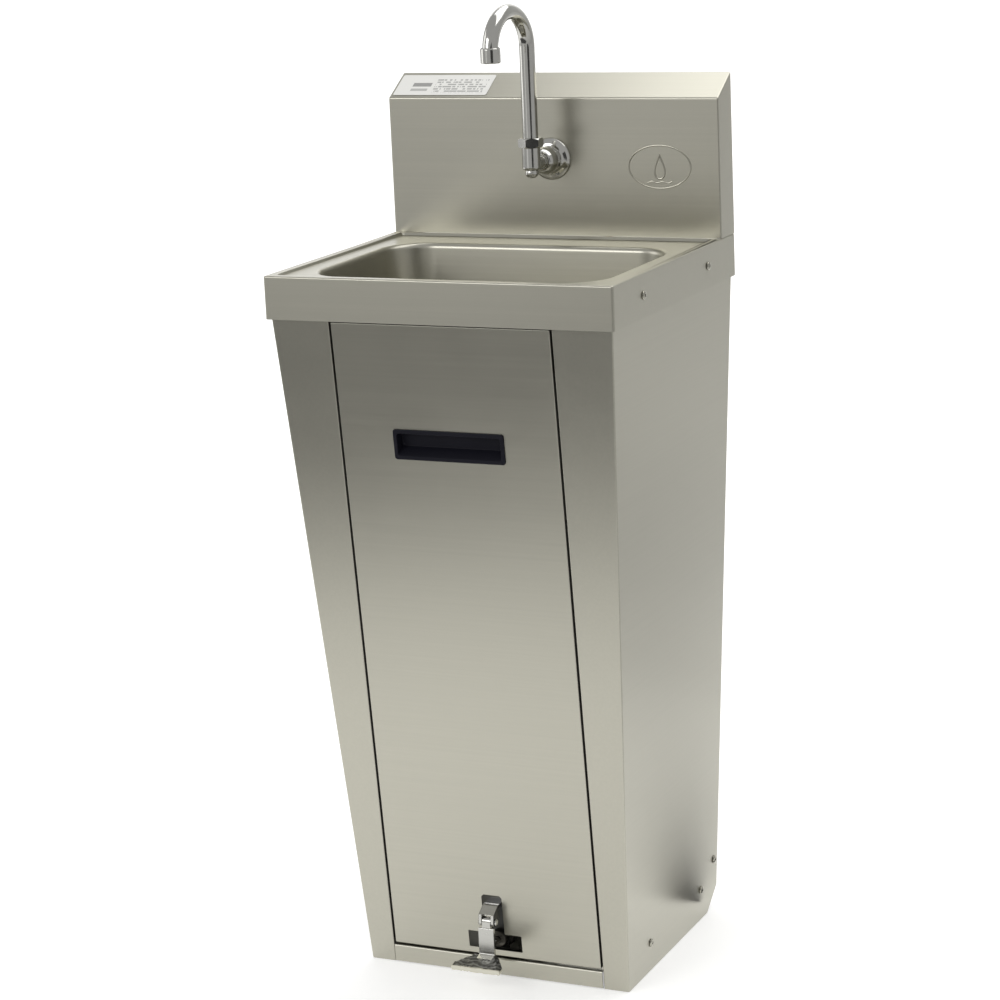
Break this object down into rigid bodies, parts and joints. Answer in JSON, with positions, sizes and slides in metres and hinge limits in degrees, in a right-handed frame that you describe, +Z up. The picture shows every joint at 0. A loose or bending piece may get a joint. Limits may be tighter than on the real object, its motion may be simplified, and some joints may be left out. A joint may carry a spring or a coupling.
{
  "type": "pedestal hand sink",
  "caption": "Floor-standing stainless pedestal hand sink with a backsplash, gooseneck faucet, foot pedal valve, P-trap and a tip-out front access panel.",
  "frame": {"origin": "on the floor, under the middle of the sink top's outline", "axes": "+Z up, -Y towards the user, +X to the user's right"},
  "size_m": [0.4434, 0.394, 1.1634],
  "materials": {
    "satin_steel": "satin, fine horizontal grain",
    "chrome": "polished plate",
    "brass": "rough plated casting",
    "copper": "drawn copper tube",
    "spring_steel": "bright wire and strip",
    "cast_tread": "dark textured casting",
    "black_plastic": "moulded, fine grain",
    "rubber": "matt",
    "label": "printed film"
  },
  "bodies": {
    "cabinet": {"apron_screw_front_left": "chrome", "apron_screw_front_right": "chrome", "apron_screw_rear_left": "chrome", "apron_screw_rear_right": "chrome", "backsplash": "satin_steel", "base_pan": "satin_steel", "brace_screw_left": "chrome", "brace_screw_right": "chrome", "cold_inlet": "brass", "coupling_nut": "chrome", "drain_body": "satin_steel", "drain_gasket": "rubber", "drain_locknut": "brass", "faucet_elbow": "chrome", "faucet_flange": "chrome", "faucet_shank": "brass", "front_rail": "satin_steel", "hot_inlet": "brass", "label": "label", "outlet_nut": "brass", "pan_screw_front_left": "chrome", "pan_screw_front_right": "chrome", "pan_screw_rear_left": "chrome", "pan_screw_rear_right": "chrome", "panel_clip_left": "spring_steel", "panel_clip_right": "spring_steel", "pedal_bracket": "chrome", "pivot_clip": "spring_steel", "pivot_pin": "chrome", "plunger_spring": "spring_steel", "rear_brace_lower": "satin_steel", "rear_brace_upper": "satin_steel", "shank_locknut": "brass", "shank_washer": "rubber", "side_panel_left": "satin_steel", "side_panel_right": "satin_steel", "sink_top": "satin_steel", "supply_elbow": "brass", "supply_nut": "brass", "supply_pipe": "copper", "swivel_nut": "chrome", "tailpiece": "chrome", "tailpiece_nut": "chrome", "toe_strip": "satin_steel", "trap_arm": "chrome", "trap_bend": "chrome", "trap_inlet_nut": "chrome", "trap_outlet_nut": "chrome", "valve_body": "brass", "valve_bonnet": "brass", "valve_stand": "satin_steel"},
    "access_panel": {"access_panel": "satin_steel", "panel_pull": "black_plastic"},
    "spout": {"spout": "chrome", "aerator_shell": "chrome", "aerator_screen": "black_plastic"},
    "pedal": {"pedal_lever": "chrome", "pedal_pad": "cast_tread"},
    "plunger": {"valve_plunger": "chrome"},
    "strainer": {"strainer_basket": "satin_steel"}
  },
  "joints": [
    {"name": "panel_tilt", "type": "hinge", "parent": "cabinet", "child": "access_panel", "pos_m": [0, -0.11154, 0.0256], "axis": [1, 0, 0], "range_deg": [0, 25]},
    {"name": "spout_swivel", "type": "hinge", "parent": "cabinet", "child": "spout", "pos_m": [0, 0.09, 1.05], "axis": [0, 0, 1], "continuous": true},
    {"name": "pedal_press", "type": "hinge", "parent": "cabinet", "child": "pedal", "pos_m": [0, -0.132, 0.078], "axis": [1, 0, 0], "range_deg": [0, 15], "stiffness_Nm_per_rad": 1.5, "springref_deg": -14.9},
    {"name": "plunger_slide", "type": "slide", "parent": "cabinet", "child": "plunger", "axis": [0, 1, 0], "range_m": [0, 0.0089], "deforming": ["plunger_spring"]},
    {"name": "basket_lift", "type": "slide", "parent": "cabinet", "child": "strainer", "axis": [0, 0, 1], "range_m": [0, 0.06]}
  ],
  "couplings": [
    {"joint": "plunger_slide", "follows": "pedal_press", "m_per_rad": 0.0338}
  ]
}
